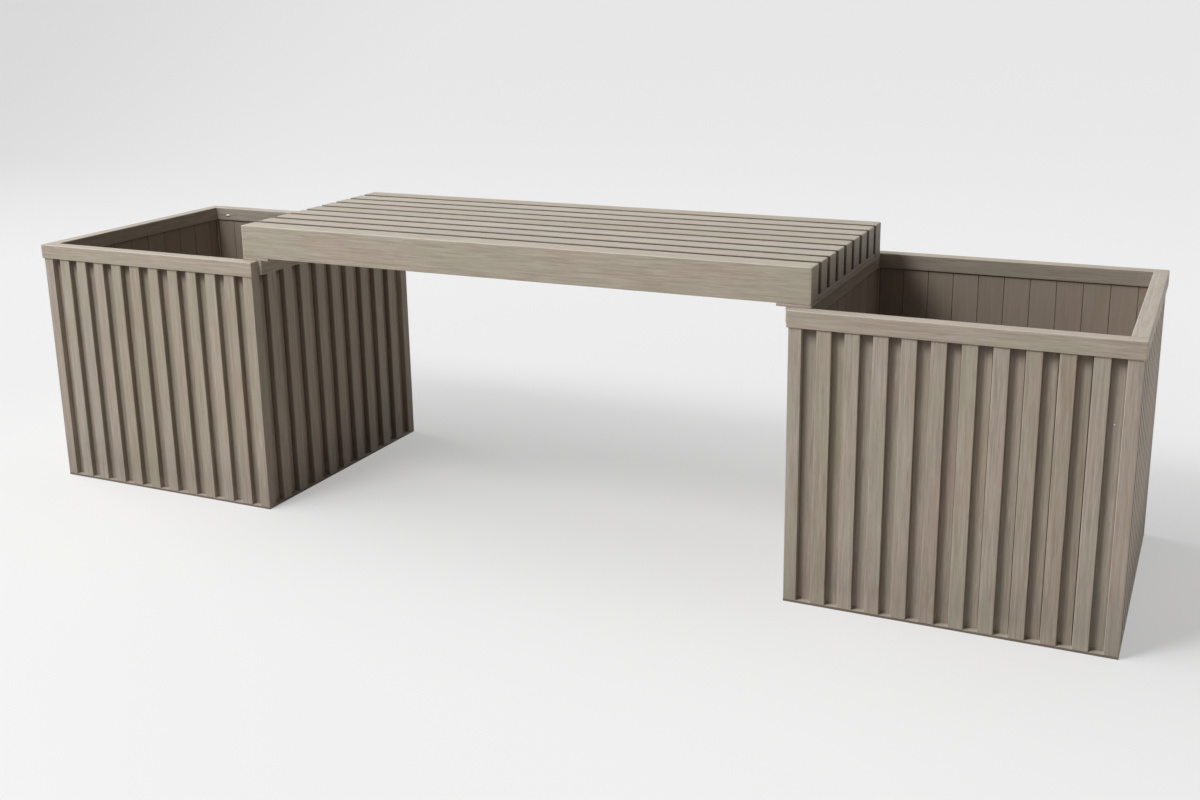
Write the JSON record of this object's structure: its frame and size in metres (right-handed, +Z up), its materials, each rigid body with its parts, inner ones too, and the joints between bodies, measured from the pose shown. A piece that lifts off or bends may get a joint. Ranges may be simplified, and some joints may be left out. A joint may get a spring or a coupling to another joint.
{
  "type": "bench with planters",
  "caption": "Slatted wooden bench seat whose ends rest on two square ribbed wooden planter boxes with open tops.",
  "frame": {"origin": "on the ground, under the middle of the bench's overall box", "axes": "+X along the bench from the left planter to the right one, +Y from the front to the back, +Z up"},
  "size_m": [1.785, 0.45, 0.476],
  "materials": {
    "seat_wood": "weathered, matte",
    "rim_wood": "weathered, matte",
    "wall_wood": "weathered, matte",
    "inner_wood": "weathered, matte",
    "bearer_wood": "weathered, matte"
  },
  "bodies": {
    "root": {"left_rim_front": "rim_wood", "left_rim_back": "rim_wood", "left_rim_left": "rim_wood", "left_rim_right": "rim_wood", "left_post_front_left": "wall_wood", "left_post_front_right": "wall_wood", "left_post_back_left": "wall_wood", "left_post_back_right": "wall_wood", "left_wall_front": "wall_wood", "left_wall_right": "wall_wood", "left_wall_back": "wall_wood", "left_wall_left": "wall_wood", "left_base_front": "inner_wood", "left_base_back": "inner_wood", "left_base_left": "inner_wood", "left_base_right": "inner_wood", "left_floor_1": "inner_wood", "left_floor_2": "inner_wood", "left_floor_3": "inner_wood", "left_floor_4": "inner_wood", "left_floor_5": "inner_wood", "right_rim_front": "rim_wood", "right_rim_back": "rim_wood", "right_rim_left": "rim_wood", "right_rim_right": "rim_wood", "right_post_front_left": "wall_wood", "right_post_front_right": "wall_wood", "right_post_back_left": "wall_wood", "right_post_back_right": "wall_wood", "right_wall_front": "wall_wood", "right_wall_right": "wall_wood", "right_wall_back": "wall_wood", "right_wall_left": "wall_wood", "right_base_front": "inner_wood", "right_base_back": "inner_wood", "right_base_left": "inner_wood", "right_base_right": "inner_wood", "right_floor_1": "inner_wood", "right_floor_2": "inner_wood", "right_floor_3": "inner_wood", "right_floor_4": "inner_wood", "right_floor_5": "inner_wood", "seat_front": "seat_wood", "seat_back": "seat_wood", "slat_1": "seat_wood", "slat_2": "seat_wood", "slat_3": "seat_wood", "slat_4": "seat_wood", "slat_5": "seat_wood", "slat_6": "seat_wood", "slat_7": "seat_wood", "bearer_left": "bearer_wood", "bearer_right": "bearer_wood", "strip_left": "bearer_wood", "strip_right": "bearer_wood", "batten_left": "bearer_wood", "batten_right": "bearer_wood"}
  },
  "joints": []
}
